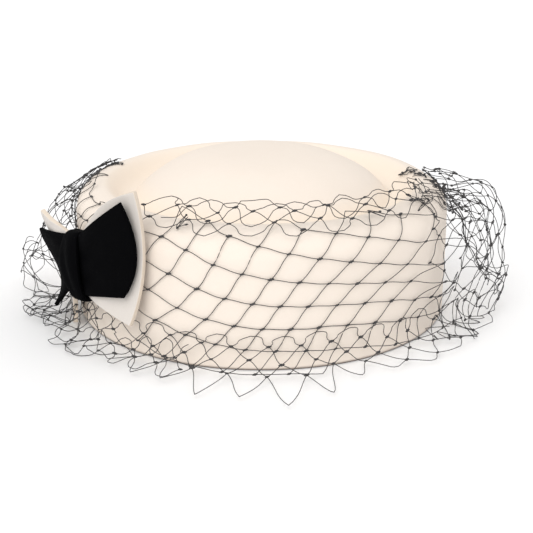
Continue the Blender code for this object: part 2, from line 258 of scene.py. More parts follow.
class Tree:
    """The node tree of one material, made from nothing."""

    def __init__(self, name):
        self.material = bpy.data.materials.new(name)
        self.material.use_nodes = True
        self.tree = self.material.node_tree
        self.tree.nodes.clear()

    def node(self, kind, settings=None, values=None):
        """Adds a node of this type, then its settings, then the values or links of its sockets."""
        made = self.tree.nodes.new(kind)
        for key, value in (settings or {}).items():
            setattr(made, key, value)
        for key, value in (values or {}).items():
            if isinstance(value, Signal):
                self.tree.links.new(value.socket, made.inputs[key])
            else:
                made.inputs[key].default_value = value
        return Node(self, made)

    def noise(self, place, scale, detail, roughness=0.5, distortion=0.0):
        """Soft noise between 0 and 1 at this many waves a metre."""
        values = {"Vector": place, "Scale": scale, "Detail": detail, "Roughness": roughness}
        values["Distortion"] = distortion
        return self.node("ShaderNodeTexNoise", {"noise_dimensions": "3D"}, values).out("Fac")

    def mix(self, share, first, second):
        """The first colour where the share is 0 and the second where it is 1."""
        settings = {"data_type": "RGBA", "blend_type": "MIX"}
        return self.node("ShaderNodeMix", settings, {0: share, 6: first, 7: second}).out(2)

    def rise(self, value):
        """A signal eased from 0 to 1 with a level start and end."""
        settings = {"interpolation_type": "SMOOTHSTEP"}
        return self.node("ShaderNodeMapRange", settings, {"Value": value}).out(0)

    def bump(self, strength, distance, height):
        """The surface's normal as this height tilts it."""
        values = {"Strength": strength, "Distance": distance, "Height": height}
        return self.node("ShaderNodeBump", None, values).out("Normal")

    def finish(self, values):
        """The material, once a Principled shader of these values is its surface."""
        shader = self.node("ShaderNodeBsdfPrincipled", None, values)
        self.node("ShaderNodeOutputMaterial", None, {"Surface": shader.out(0)})
        return self.material


def felt_material(name, colour, channel=None):
    """Wool felt: a base colour that drifts to a second shade, matted fibres and a soft nap. channel is the
    radius and the half width of a warmer ring of painted bounce light, in the channel round the crown's top.
    A felt that has one also gets a painted contact shadow along its rim on the ground."""
    shade, nap, nap_tint, gloss, fuzz, grain = FELTS[name]
    tree = Tree(name)
    place = tree.node("ShaderNodeTexCoord").out("Object")
    drift = tree.noise(place, 38.0, 2.0)
    cloud = tree.noise(place, 240.0, 4.0, 0.6)
    fibre = tree.noise(place, 1500.0, 3.0, 0.65, 1.6)
    hair = tree.noise(place, 4200.0, 2.0, 0.6, 0.6)
    share = drift * 0.5 + cloud * 0.35 + (fibre - 0.5) * grain
    base = tree.mix(share, (*shade, 1.0), (*colour, 1.0))
    # A warmer ring in the channel round the top: painted bounce light.
    if channel:
        radius, width = channel
        parts = tree.node("ShaderNodeSeparateXYZ", None, {0: place})
        across, along = parts.out(0) - float(AXIS[0]), parts.out(1) - float(AXIS[1])
        away = (((across * across + along * along) ** 0.5 - radius) * (1.0 / width)) ** 2.0
        top = tree.rise((parts.out(2) - CHANNEL_FROM) * (1.0 / CHANNEL_EASE))
        base = tree.mix(tree.rise(1.0 - away) * top, base, (*CHANNEL_PAINTED_BOUNCE_LIGHT, 1.0))
        # Painted contact shadow: the felt darkens along its rim where it stands on the ground.
        rim = tree.rise(1.0 - parts.out(2) * (1.0 / RIM_PAINTED_SHADOW_HEIGHT))
        base = tree.mix(rim, base, (*RIM_PAINTED_SHADOW, 1.0))
    return tree.finish(
        {
            "Base Color": base,
            "Roughness": 0.86 + fibre * 0.14,
            "Specular IOR Level": gloss,
            "Sheen Weight": nap,
            "Sheen Roughness": 0.45,
            "Sheen Tint": (*nap_tint, 1.0),
            "Normal": tree.bump(fuzz, 0.00025, fibre * 0.6 + hair * 0.25 + cloud * 0.5),
        }
    )


def thread_material(colour):
    """Twisted thread: two plies wound round each other, with painted shade in the grooves between them and a
    lighter tone on the crests, which random flecks share.
    """
    tree = Tree("net_thread_twist")
    place = tree.node("ShaderNodeUVMap", {"uv_map": "along"}).out("UV")
    parts = tree.node("ShaderNodeSeparateXYZ", None, {0: place})
    turns = parts.out(0) * TWISTS_PER_METRE + parts.out(1) * 2.0
    ply = tree.node("ShaderNodeMath", {"operation": "SINE"}, {0: turns * (2 * math.pi)}).out(0) * 0.5 + 0.5
    fleck = tree.noise(tree.node("ShaderNodeTexCoord").out("Object"), 900.0, 2.0)
    # Painted shade in the grooves between the plies, with lighter crests, mixed with random flecks.
    base = tree.mix(ply * 0.6 + fleck * 0.4, (*colour, 1.0), (*THREAD_CREST_AND_FLECK, 1.0))
    return tree.finish(
        {
            "Base Color": base,
            "Roughness": 0.42 + fleck * 0.25,
            "Specular IOR Level": 0.4,
            "Normal": tree.bump(0.4, 0.00006, ply),
        }
    )


def floor_material(colour):
    """Matt white paper with a faint tooth."""
    tree = Tree("white_paper")
    place = tree.node("ShaderNodeTexCoord").out("Object")
    tooth = tree.noise(place, 500.0, 2.0)
    return tree.finish(
        {
            "Base Color": (*colour, 1.0),
            "Roughness": 0.9 + tooth * 0.05,
            "Specular IOR Level": 0.0,
            "Normal": tree.bump(0.03, 0.0002, tooth),
        }
    )


# Sizes and colours.


def a_length(name, description, default):
    """A length that the sidebar shows in the scene's units."""
    return bpy.props.FloatProperty(name=name, description=description, default=default, unit="LENGTH")


def an_angle(name, description, degrees):
    """An angle that the sidebar shows in degrees."""
    radians = math.radians(degrees)
    return bpy.props.FloatProperty(name=name, description=description, default=radians, subtype="ANGLE")


def a_colour(name, description, default):
    """A colour that the sidebar shows as a swatch."""
    return bpy.props.FloatVectorProperty(name=name, description=description, default=default, subtype="COLOR")


class CrownSettings(bpy.types.PropertyGroup):
    """Sizes and colour of the felt crown"""

    width: a_length("Width", "Across the crown's wall", 0.190)
    ridge_height: a_length("Ridge height", "From the ground to the ridge round the top", 0.066)
    shoulder: a_length("Shoulder", "Radius of the bend from the wall to the top", 0.0142)
    channel_width: a_length("Channel width", "From the ridge to the foot of the dome", 0.0150)
    channel_depth: a_length("Channel depth", "How far the channel lies below the ridge", 0.0085)
    dome_rise: a_length("Dome rise", "How far the dome stands above the ridge", 0.0145)
    felt: a_length("Felt", "Thickness of the felt", 0.0024)
    colour: a_colour("Felt colour", "Colour of the ivory felt", (0.87, 0.785, 0.705))


class BowSettings(bpy.types.PropertyGroup):
    """Place, sizes and colours of the felt bow"""

    turn: an_angle("Turn", "From the left side towards the front", 28.6)
    lean: an_angle("Lean", "How far the bow's front end is raised", 9.0)
    ivory_size: a_length("Lower layer", "Size that the ivory lobes are shares of", 0.060)
    black_size: a_length("Upper layer", "Size that the black lobes are shares of", 0.052)
    ivory_felt: a_length("Ivory felt", "Thickness of the lower layer", 0.0024)
    black_felt: a_length("Black felt", "Thickness of the upper layer", 0.0020)
    band_width: a_length("Band width", "Along the bow, from edge to edge of the band", 0.0180)
    ivory_colour: a_colour("Ivory", "Colour of the lower layer", (0.71, 0.67, 0.63))
    black_colour: a_colour("Black", "Colour of the upper layer and the band", (0.0028, 0.0028, 0.0032))


class VeilSettings(bpy.types.PropertyGroup):
    """Sizes and colour of the net's thread"""

    thread: a_length("Thread", "Thickness of the net's thread", 0.00038)
    knot: a_length("Knot", "Length of a knot", 0.0028)
    colour: a_colour("Thread colour", "Colour of the net", (0.016, 0.015, 0.016))


class StageSettings(bpy.types.PropertyGroup):
    """Where the camera stands, and the floor's colour"""

    distance: a_length("Camera distance", "From the crown's axis on the ground", 0.637)
    elevation: an_angle("Camera elevation", "Above the ground", 20.78)
    floor_colour: a_colour("Floor", "Colour of the floor", (0.97, 0.97, 0.975))


# Crown.

# How full the dome is, how steeply it ends, and how far the channel's outer side leans: all three are
# powers. The dome's foot is smoothed within the softness, and the rim's rounding is higher than deep.
DOME_FULLNESS, DOME_EASE, CHANNEL_LEAN = 3.1, 0.92, 1.3
FOOT_SOFTNESS = 0.004
RIM_ROUND = 1.6
CROWN_SIDES = 224
# The unevenness of the wall and of the top, and its longest and shortest wave.
WALL_WAVE, TOP_WAVE = 0.00022, 0.00030
CROWN_WAVES = (0.12, 0.03)


def top_height(radius, crown):
    """Height of the outside within the ridge. Inside the channel's foot it is the floor plus the rise times
    one minus the radius share to a power, and the channel's outer side is half a cosine wave."""
    ridge = crown.width / 2 - crown.shoulder
    foot = ridge - crown.channel_width
    low = crown.ridge_height - crown.channel_depth
    rise = crown.dome_rise + crown.channel_depth
    share = np.clip(radius / foot, 0.0, 1.0)
    dome = low + rise * (1.0 - share**DOME_FULLNESS) ** DOME_EASE
    climb = np.clip((radius - foot) / crown.channel_width, 0.0, 1.0)
    side = low + crown.channel_depth * (0.5 - 0.5 * np.cos(math.pi * climb**CHANNEL_LEAN))
    return np.where(radius < foot, dome, side)


def crown_outside(crown, count):
    """Radius and height down the outside at equal lengths: the top, a quarter circle and the upright wall.
    At the foot of the dome the height is a running mean."""
    half = crown.width / 2
    ridge = half - crown.shoulder
    shoulder_height = crown.ridge_height - crown.shoulder
    radius = np.linspace(0.0, 1.0, 1600) ** 0.8 * ridge
    top = np.column_stack([radius, top_height(radius, crown)])
    angle = np.linspace(math.pi / 2, 0.0, 60)[1:]
    bend = np.column_stack(
        [ridge + crown.shoulder * np.cos(angle), shoulder_height + crown.shoulder * np.sin(angle)]
    )
    line = np.vstack([top, bend, [[half, 0.0]]])
    foot = np.abs(line[:, 0] - (ridge - crown.channel_width)) < FOOT_SOFTNESS
    line[:, 1] = np.where(foot, np.convolve(line[:, 1], np.ones(25) / 25, mode="same"), line[:, 1])
    return evenly(line, count)


def inside_of(outside, felt, count):
    """The same line moved in by the felt's thickness, without the loops where it would cross itself."""
    heading = unit(np.gradient(outside, axis=0))
    inner = outside + felt * np.column_stack([heading[:, 1], -heading[:, 0]])
    inner[-1, 1] = 0.0
    apart = np.linalg.norm(inner[:, None] - outside[None], axis=2).min(axis=1)
    kept = inner[(apart > felt * 0.985) & (inner[:, 0] > 0)]
    kept[0, 0] = 0.0
    return evenly(kept, count)


def make_crown(crown, material):
    """The felt shell: the outside line, a rounded cut edge and the inside line, turned round the axis. The
    radius and the height both carry waves of a few tenths of a millimetre, as hand-blocked felt does."""
    felt, soft = crown.felt, crown.felt / 2
    outside = crown_outside(crown, 190)
    inside = inside_of(crown_outside(crown, 900), felt, 110)
    angle = np.linspace(0, math.pi, 8)[1:-1]
    round_height = soft * RIM_ROUND
    rim_radius = crown.width / 2 - soft + soft * np.cos(angle)
    rim = np.column_stack([rim_radius, round_height * (1 - np.sin(angle))])
    outside = outside[outside[:, 1] > round_height]
    inside = inside[inside[:, 1] > round_height]
    line = np.vstack([outside, rim, inside[::-1]])
    turn = np.arange(CROWN_SIDES) * 2 * math.pi / CROWN_SIDES
    radius, height = line[:, :1], line[:, 1:]
    fade = smooth_step(radius / 0.02)
    lift = smooth_step((height - 0.02) / 0.02)
    ripple = waves(3, radius * np.cos(turn), radius * np.sin(turn) + height, *CROWN_WAVES)
    dents = waves(5, 0.06 * np.sin(turn), height + 0.06 * np.cos(turn), *CROWN_WAVES)
    radius = radius + WALL_WAVE * fade * dents
    height = height + TOP_WAVE * lift * ripple
    points = np.stack([radius * np.cos(turn), radius * np.sin(turn), height], axis=-1)
    points[..., :2] += AXIS
    points = np.vstack([points[1:-1].reshape(-1, 3), points[[0, -1], 0]])
    quads, fans = capped_rings(len(line) - 2, CROWN_SIDES)
    faces = quads[:, ::-1].tolist() + fans[:, ::-1].tolist()
    return put_object("crown_felt", points, faces, material)


# Bow.

# Each corner of a lobe, as shares of its layer's size: along the wall from the bow's middle, up, and off
# the wall.
IVORY_LOBES = {
    "front": {"low": (0.79, -0.30, 0.16), "middle": (0.88, 0.214, 0.08), "high": (0.863, 0.78, 0.14)},
    "back": {"low": (-0.175, -0.58, 0.105), "middle": (-0.80, -0.20, 0.125), "high": (-0.64, 0.283, 0.285)},
}
BLACK_LOBES = {
    "front": {"low": (0.867, -0.08, 0.22), "middle": (0.992, 0.32, 0.17), "high": (0.911, 0.812, 0.26)},
    "back": {"low": (-0.46, -0.568, 0.265), "middle": (-0.86, -0.278, 0.216), "high": (-0.851, 0.106, 0.366)},
}
# The height of the pinch, and that of the bow's middle above the ground.
PINCH_HEIGHT, BOW_HEIGHT = 0.0276, 0.0364
# The room for the net behind the band, and the gaps between the layers.
STRAND_ROOM, LAYER_GAP = 0.0026, 0.0004
# The cut of each layer laid flat: its width, its length and its area.
IVORY_CUT, IVORY_AREA = (0.066, 0.104), 0.0044
BLACK_CUT, BLACK_AREA = (0.048, 0.098), 0.0035
BAND_FELT = 0.0020
BOW_ROWS, BOW_COLUMNS = 69, 44
# The share of a layer's half that the band holds, and how much the ivory front lobe's border swells.
HELD_SHARE, IVORY_SWELL = 1.0 / 8.0, 0.0050
# The depth of the folds, the curl of the back edge and the least way that this edge stands off the wall.
FOLD_DEPTH, BACK_CURL, BACK_STAND = 0.0009, 0.12, 0.0044
# The band's slack round the pinch, its corners, its fullness, its shift along the bow and its taper.
BAND_SLACK, BAND_CORNER, BAND_SWELL, BAND_SHIFT, BAND_TAPER = 0.0012, 0.0020, 0.0022, 0.0034, 0.0070
BAND_FOLD, BAND_ROLL, BAND_COLUMNS = 0.00045, 0.0012, 33


def stack_stands(bow):
    """How far off the wall the back of the band, both layers and the front of the band have their middles."""
    band_back = STRAND_ROOM + BAND_FELT / 2
    ivory = band_back + BAND_FELT / 2 + LAYER_GAP + bow.ivory_felt / 2
    black = ivory + bow.ivory_felt / 2 + LAYER_GAP + bow.black_felt / 2
    band_front = black + bow.black_felt / 2 + LAYER_GAP + BAND_FELT / 2
    return band_back, ivory, black, band_front


def on_wall(reach, rise, stand, bow, crown):
    """World points at this reach along the wall and this rise from the bow's middle, this far off it: the
    reach is a length on the circle of the black layer."""
    half = crown.width / 2
    angle = bow.turn + reach / (half + stack_stands(bow)[2])
    radius = half + stand
    place = (AXIS[0] - radius * np.cos(angle), AXIS[1] - radius * np.sin(angle), BOW_HEIGHT + rise)
    return np.stack(place, axis=-1).reshape(-1, 3)


def lobe_edge(rows, size, across):
    """The bowed curve through a lobe's low corner, middle and high corner: a parabola in the share across."""
    low, middle, high = (np.array(rows[name]) * size for name in ("low", "middle", "high"))
    across = across[..., None]
    return middle + (high - low) / 2 * across + ((high + low) / 2 - middle) * across**2


def leaning(along, across, bow):
    """Reach and rise of lengths along the bow and across it, turned by the bow's lean."""
    reach = along * math.cos(bow.lean) - across * math.sin(bow.lean)
    rise = along * math.sin(bow.lean) + across * math.cos(bow.lean)
    return reach, rise


def thicken(sheet, felt, edge, segments):
    """Gives a sheet its felt's thickness, half to each side, and rounds its cut edges."""
    wall = sheet.modifiers.new("thickness", "SOLIDIFY")
    wall.thickness = felt
    wall.offset = 0.0
    edge_round = sheet.modifiers.new("soft edge", "BEVEL")
    edge_round.width = edge
    edge_round.segments = segments
    edge_round.limit_method = "ANGLE"
    edge_round.angle_limit = math.radians(50)
    return wall


def make_bow_layer(name, lobes, size, stand, felt, swell, bow, crown, material):
    """One felt layer. Each lobe is ruled by straight lines from the pinched middle to its bowed edge, and
    soft folds run out from the pinch: a cosine of the share across, which fades with the length out. The
    back edge curls off the wall as the share across less its cube, and the front lobe's upper border swells
    as half a sine wave of the length out."""
    out = np.linspace(-1.0, 1.0, BOW_ROWS)[:, None]
    across = np.linspace(-1.0, 1.0, BOW_COLUMNS)[None, :]
    side = np.where(out < 0, -1.0, 1.0)
    held = np.minimum(np.abs(out) / HELD_SHARE, 1.0) * bow.band_width / 2
    share = np.clip((np.abs(out) - HELD_SHARE) / (1.0 - HELD_SHARE), 0.0, 1.0)
    reach, rise = leaning(side * held, across * PINCH_HEIGHT / 2, bow)
    start = np.stack(np.broadcast_arrays(reach, rise, np.float64(stand)), axis=-1)
    front, back = (lobe_edge(lobes[key], size, across) for key in ("front", "back"))
    back[..., 2] = np.maximum(back[..., 2] + BACK_CURL * size * (across - across**3), BACK_STAND)
    edge = np.where(side[..., None] > 0, front, back)
    point = start + (edge - start) * share[..., None]
    fading = np.sin(math.pi * np.minimum(share * 1.6, 1.0)) ** 2 * (1 - share)
    point[..., 2] += FOLD_DEPTH * np.cos(2.6 * math.pi * across + 0.6) * fading
    point[..., 1] += np.where(side > 0, swell, 0.0) * np.sin(math.pi * share) * np.maximum(across, 0.0) ** 2
    world = on_wall(point[..., 0], point[..., 1], point[..., 2], bow, crown)
    layer = put_object(name, world, grid_faces(BOW_ROWS, BOW_COLUMNS), material)
    thicken(layer, felt, felt * 0.28, 3).use_even_offset = True
    return layer


def make_band(bow, crown, material):
    """The felt band round the pinch: a rounded box round the layers, carried along the bow. Its front has
    soft folds, a sine wave across the band's width, and its edges roll in as the fourth power of the way to
    them. Its back edge draws in towards the band's top and bottom, as the square of the height."""
    back, _, _, front = stack_stands(bow)
    half = (PINCH_HEIGHT + BAND_FELT) / 2 + BAND_SLACK
    high, low, near, far = half - BAND_CORNER, BAND_CORNER - half, back + BAND_CORNER, front - BAND_CORNER
    line = []
    for across, stand, first in ((high, near, -90), (high, far, 0), (low, far, 90), (low, near, 180)):
        angle = np.radians(np.linspace(first, first + 90, 8))
        bend = (across + BAND_CORNER * np.cos(angle), stand + BAND_CORNER * np.sin(angle))
        line.append(np.column_stack(bend))
    line = evenly(np.vstack([*line, line[0][:1]]), 97)[:-1]
    front_share = np.clip((line[:, 1] - back) / (front - back), 0.0, 1.0)
    full = np.clip(1.0 - (line[:, 0] / half) ** 2, 0.0, 1.0)
    line[:, 1] += BAND_SWELL * full * front_share
    share = np.linspace(0.0, 1.0, BAND_COLUMNS)[None, :]
    across = np.repeat(line[:, :1], BAND_COLUMNS, axis=1)
    height = across / half
    along = (share - 0.5) * bow.band_width * 1.08 + BAND_SHIFT + BAND_TAPER * (1.0 - share) * height**2
    fold = BAND_FOLD * np.sin(2 * math.pi * (1.6 * share + 0.35 * height)) * (1.0 - height**2)
    roll = -BAND_ROLL * (2.0 * share - 1.0) ** 4
    stand = line[:, 1:] + (fold + roll) * front_share[:, None]
    reach, rise = leaning(along, across, bow)
    faces = grid_faces(len(line), BAND_COLUMNS, close_rows=True)
    band = put_object("bow_band_felt", on_wall(reach, rise, stand, bow, crown), faces, material)
    thicken(band, BAND_FELT, 0.0005, 2)
    return band


# Veil.

# Turns in degrees from the front, then how much the net puffs out there, from 0 on the wall to 1, and how
# far it reaches out on the ground, as a share of VEIL_FLARE.
STATIONS = np.array([
    (-114.4, 1.00, 1.20),
    (-99.4, 1.00, 1.20),
    (-89.4, 0.00, 1.10),
    (-60.0, 0.00, 0.96),
    (-42.0, 0.00, 0.80),
    (-24.0, 0.00, 0.80),
    (-13.0, 0.00, 1.24),
    (-3.0, 0.00, 1.16),
    (5.0, 0.00, 1.50),
    (26.0, 0.00, 0.62),
    (50.0, 0.00, 0.92),
    (64.0, 0.30, 1.05),
    (81.0, 1.00, 1.20),
    (103.0, 1.00, 1.20),
])
# From the top of a puff to its foot: way off the wall as a share of VEIL_PUFF and height as a share of the
# ridge's, for the puff on the left and then for the one on the right.
PUFF_ROWS = np.array([
    (-0.36, 1.05, -0.36, 1.01),
    (-0.12, 1.01, -0.06, 0.98),
    (0.10, 0.90, 0.43, 0.97),
    (0.46, 0.74, 0.74, 0.88),
    (0.72, 0.53, 0.84, 0.71),
    (0.92, 0.36, 0.84, 0.48),
    (1.05, 0.22, 0.84, 0.24),
    (1.10, 0.10, 0.78, 0.10),
    (1.08, 0.024, 0.73, 0.024),
])
# How far the puffs and the flare stand off the wall, and the heights where the flare starts and ends.
VEIL_PUFF, VEIL_FLARE, FLARE_HEIGHT, HEM_HEIGHT = 0.0335, 0.0280, 0.0120, 0.0008
# How far the top edge stands up over the ridge, and the net off the felt.
TOP_LIFT, THREAD_GAP = 0.0046, 0.0009
# Over this turn before each end, the net closes onto the upper part of the section, which is this share.
GATHER_TURN, GATHER_SHARE = 22.0, 0.22
# The skirt is the net below this height.
SKIRT_HEIGHT = 0.0165
# How the folded edge runs on past the top, inwards and up, for each metre of its length.
OVER_EDGE = (0.9, -0.25)


def veil_sections(turns, crown, count=240):
    """Radius and height down the veil at each turn, in equal steps of length. The section hugs the crown or
    stands off it, in shares that pass smoothly from station to station, and it closes into the ridge at
    both ends as a quarter sine wave."""
    half, high, bend = crown.width / 2, crown.ridge_height, crown.shoulder
    ridge, shoulder, out = half - bend, high - bend, bend + THREAD_GAP
    table = np.empty((len(turns), count, 2))
    for number, turn in enumerate(turns):
        after = min(max(int(np.searchsorted(STATIONS[:, 0], turn)), 1), len(STATIONS) - 1)
        before, behind = STATIONS[after - 1], STATIONS[after]
        share = float(smooth_step((turn - before[0]) / (behind[0] - before[0])))
        puff, reach = before[1:] + (behind[1:] - before[1:]) * share
        reach = reach * VEIL_FLARE
        rows = [(ridge + 0.0011, high + TOP_LIFT * (1.0 - puff) + 0.0012)]
        for angle in np.radians((66, 38, 12)):
            rows.append((ridge + out * math.cos(angle), shoulder + out * math.sin(angle)))
        rows += [(half + THREAD_GAP, shoulder * 0.8), (half + THREAD_GAP, shoulder * 0.5)]
        rows.append((half + THREAD_GAP * 1.2, FLARE_HEIGHT))
        rows.append((half + reach * 0.36, HEM_HEIGHT + (FLARE_HEIGHT - HEM_HEIGHT) * 0.12))
        rows.append((half + reach, HEM_HEIGHT))
        hugging = np.array(rows)
        first = 0 if turn < 0 else 2
        puffed = np.column_stack([half + PUFF_ROWS[:, first] * VEIL_PUFF, PUFF_ROWS[:, first + 1] * high])
        section = curve_through(hugging * (1 - puff) + puffed * puff, count)
        inward = np.clip(min(turn - STATIONS[0, 0], STATIONS[-1, 0] - turn) / GATHER_TURN, 0.0, 1.0)
        opened = math.sin(inward * math.pi / 2)
        bunched = curve_through(hugging, round(count / GATHER_SHARE))[:count]
        table[number] = bunched * (1 - opened) + section * opened
    return table


class VeilForm:
    """The surface that the net lies on, read at a turn in degrees and a length down from its top edge."""

    def __init__(self, crown):
        self.wall = crown.width / 2
        self.turns = np.linspace(STATIONS[0, 0], STATIONS[-1, 0], 223)
        self.table = veil_sections(self.turns, crown)
        steps = np.linalg.norm(np.diff(self.table, axis=1), axis=2)
        self.length = steps.sum(axis=1)
        low = np.argmax(self.table[:, ::-1, 1] > SKIRT_HEIGHT, axis=1)
        self.skirt = np.array([step[len(step) - count :].sum() for step, count in zip(steps, low)])

    def length_at(self, turn):
        """Length from the top edge to the foot."""
        return np.interp(turn, self.turns, self.length)

    def place(self, turn, down, off):
        """World points. A length below nought passes over the top edge, inwards and a little up, and off
        moves the net outwards across the section."""
        at = np.clip((turn - self.turns[0]) / (self.turns[1] - self.turns[0]), 0, len(self.turns) - 1.001)
        low = at.astype(int)
        part = at - low
        length = self.length[low] * (1 - part) + self.length[low + 1] * part
        row = np.clip(down / length, 0.0, 1.0) * (self.table.shape[1] - 1.001)
        step = row.astype(int)

        def between(number):
            near = self.table[low, number]
            return near + (self.table[low + 1, number] - near) * part[..., None]

        here = between(step)
        way = between(step + 1) - here
        heading = unit(way)
        outwards = np.stack([-heading[..., 1], heading[..., 0]], axis=-1)
        section = here + way * (row - step)[..., None] + outwards * np.asarray(off)[..., None]
        section = section + np.minimum(down, 0.0)[..., None] * np.array(OVER_EDGE)
        radius, angle = section[..., 0], np.radians(turn)
        across, along = radius * np.sin(angle), radius * np.cos(angle)
        return np.stack([AXIS[0] + across, AXIS[1] - along, section[..., 1]], axis=-1)


# The net's lattice over the front: a factor for each pair of powers of the column and the row, in
# millimetres along the wall and down it. Beyond the front, each column and each row adds its slope.
POWERS = ((0, 0), (0, 1), (0, 2), (0, 3), (1, 0), (1, 1), (1, 2), (2, 0), (2, 1), (3, 0))
ALONG = (-14.837, -5.919, -0.688, -0.027, 13.342, -0.781, 0.367, -0.099, -0.147, 0.062)
DOWN = (12.398, 14.181, -0.389, -0.094, 5.38, -1.056, 0.3, -0.783, -0.102, 0.086)
ALONG_SLOPE = (13.9, -9.0)
DOWN_SLOPE = (1.9, 11.6)


def lattice(column, row):
    """Length along the wall and length down from the top edge, in metres: a cubic in the column and the row
    over the front of the hat, and even steps beyond it."""
    near = np.clip(column, -1.5, 8.0)
    level = np.clip(row, -0.5, 4.0)
    powers = [near**p * level**q for p, q in POWERS]
    along = sum(factor * power for factor, power in zip(ALONG, powers))
    down = sum(factor * power for factor, power in zip(DOWN, powers))
    along = along + ALONG_SLOPE[0] * (column - near) + ALONG_SLOPE[1] * (row - level)
    down = down + DOWN_SLOPE[0] * (column - near) + DOWN_SLOPE[1] * (row - level)
    return along / 1000.0, down / 1000.0


# How much fuller than the wall the net is in the puffs, and how much more in the gathers.
PUFF_FULLNESS, GATHER_FULLNESS = 0.34, 0.9
# The crumpled net's waves: their size along the net and off it, and their longest and shortest lengths.
SWAY, SWAY_WAVES = 0.0034, (0.090, 0.030)
BILLOW, BILLOW_WAVES = 0.0036, (0.060, 0.020)
# Behind the bow, between these turns and lengths down, the net stands off its form by no more than this.
BOW_TURNS, BOW_DOWN, BOW_ROOM = (-88.0, -30.0), (0.004, 0.070), 0.0016
# Past this turn on both sides the waves off the form set in over this length down from the top edge.
SIDE_TURN, SIDE_EASE = 62.0, 0.030
# How far the strips' knots stray at random: along, as a share of half their step, and down.
STRAY_ALONG, STRAY_DOWN = 0.12, 0.0007
# The least height of a thread's middle line and of a knot's middle, and the points along each thread.
THREAD_LOW, KNOT_LOW = 0.0004, 0.0009
THREAD_POINTS = 9


def turn_of(form, along):
    """Turn in degrees of a length along the wall. The net is fuller in the puffs and the gathers, so its turn
    grows more slowly there."""
    turn, step = np.linspace(-130.0, 125.0, 511, retstep=True)
    puffed = smooth_step((turn - 58.0) / 22.0) + smooth_step((-62.0 - turn) / 24.0)
    gathered = smooth_step((turn - 90.0) / 16.0) + smooth_step((-96.0 - turn) / 14.0)
    rate = form.wall * (1.0 + PUFF_FULLNESS * puffed + GATHER_FULLNESS * gathered) * math.radians(step)
    length = np.concatenate([[0.0], np.cumsum((rate[1:] + rate[:-1]) / 2)])
    length -= np.interp(0.0, turn, length)
    return np.interp(along, length, turn)


def unevenness(form, turn, down):
    """How much the net is crumpled, from 0 where it is pulled flat on the wall to 1 where it is loose: a sum
    of smooth steps towards both sides, the top edge and the foot."""
    loose = smooth_step((turn - 44.0) / 26.0) + smooth_step((-26.0 - turn) / 24.0)
    top = smooth_step((0.016 - down) / 0.012)
    foot = smooth_step((down - form.length_at(turn) + 0.030) / 0.025)
    return np.clip(0.05 + 0.75 * loose + 0.55 * top + 0.22 * foot, 0.0, 1.0)


def net_place(form, turn, down, off, seed):
    """World points of the net: the veil's form, moved by smooth waves that grow with the crumpling."""
    loose = unevenness(form, turn, down)
    along = np.radians(turn) * form.wall
    sideways = waves(seed, along, down, *SWAY_WAVES) * SWAY * loose
    updown = waves(seed + 1, along, down, *SWAY_WAVES) * SWAY * loose
    outward = (0.5 + waves(seed + 2, along, down, *BILLOW_WAVES)) * BILLOW * loose
    under_bow = (turn > BOW_TURNS[0]) & (turn < BOW_TURNS[1]) & (down > BOW_DOWN[0]) & (down < BOW_DOWN[1])
    outward = np.where(under_bow, np.minimum(outward, BOW_ROOM), outward)
    outward = outward * np.where(np.abs(turn) > SIDE_TURN, smooth_step(down / SIDE_EASE), 1.0)
    down = np.minimum(down + updown, form.length_at(turn))
    return form.place(turn + np.degrees(sideways / form.wall), down, off + np.maximum(outward, -0.0002))


def knot_axis(form, flat, off, seed):
    """Unit vectors along the knots: up to the right by about 14 degrees on the net's surface."""
    step = 0.0016
    aside, up = np.degrees(step / form.wall), step * 0.25
    ahead = net_place(form, flat[..., 0] + aside, flat[..., 1] - up, off, seed)
    behind = net_place(form, flat[..., 0] - aside, flat[..., 1] + up, off, seed)
    return unit(ahead - behind)


def threads_between(form, start, end, off, seed, leads, rng):
    """Threads between pairs of flat places. Each leaves its ends along the knots' axis, by the two leads,
    and bows a little to one side, as half a sine wave."""
    share = np.linspace(0.0, 1.0, THREAD_POINTS)[:, None]
    flat = start[:, None] + (end - start)[:, None] * share
    points = net_place(form, flat[..., 0], flat[..., 1], off, seed)
    axis = knot_axis(form, flat[:, [0, -1]], off, seed)
    points = points + axis[:, :1] * leads[:, :1, None] * (1 - share) ** 3 * share * 4.0
    points = points - axis[:, 1:] * leads[:, 1:, None] * share**3 * (1 - share) * 4.0
    outward = points.mean(axis=1) - np.array([*AXIS, 0.03])
    side = unit(np.cross(points[:, -1] - points[:, 0], outward))
    middle = flat[:, THREAD_POINTS // 2]
    loose = unevenness(form, middle[:, 0], middle[:, 1])
    bend = rng.normal(0.0, 1.0, len(points)) * (0.0001 + 0.0012 * loose)
    points = points + (side * bend[:, None])[:, None] * np.sin(math.pi * share)
    points[..., 2] = np.maximum(points[..., 2], THREAD_LOW)
    return points


def knots_at(points, axis, size, rng):
    """Small closed beads along an axis, with a faint waist to each side of the middle: the radius is a half
    circle times one plus a cosine of the length."""
    count, rings, sides = len(points), 7, 6
    share = np.linspace(-1.0, 1.0, rings)
    radius = np.sqrt(np.maximum(1.0 - share**2, 0.0)) * (1.0 + 0.18 * np.cos(2.2 * math.pi * share))
    scale = rng.uniform(0.8, 1.2, count)[:, None, None, None] * size / 2
    ring = rings_across(axis, sides, 0.42, 0.36)[:, None] * radius[:, None, None]
    places = points[:, None, None] + (axis[:, None, None] * share[:, None, None] + ring) * scale
    middle = places[:, 1:-1].reshape(count, -1, 3)
    vertices = np.concatenate([middle, places[:, [0, -1], 0]], axis=1)
    quads, fans = capped_rings(rings - 2, sides)
    offset = (np.arange(count) * vertices.shape[1])[:, None, None]
    faces = (quads + offset).reshape(-1, 4).tolist() + (fans + offset).reshape(-1, 3).tolist()
    return vertices.reshape(-1, 3), faces


# The turns that the net's main layer stands between, how far it reaches down from the top edge, and how
# much further it does beside the puffs.
WALL_TURNS, WALL_DOWN, WALL_MORE = (-88.0, 69.0), 0.080, 0.06


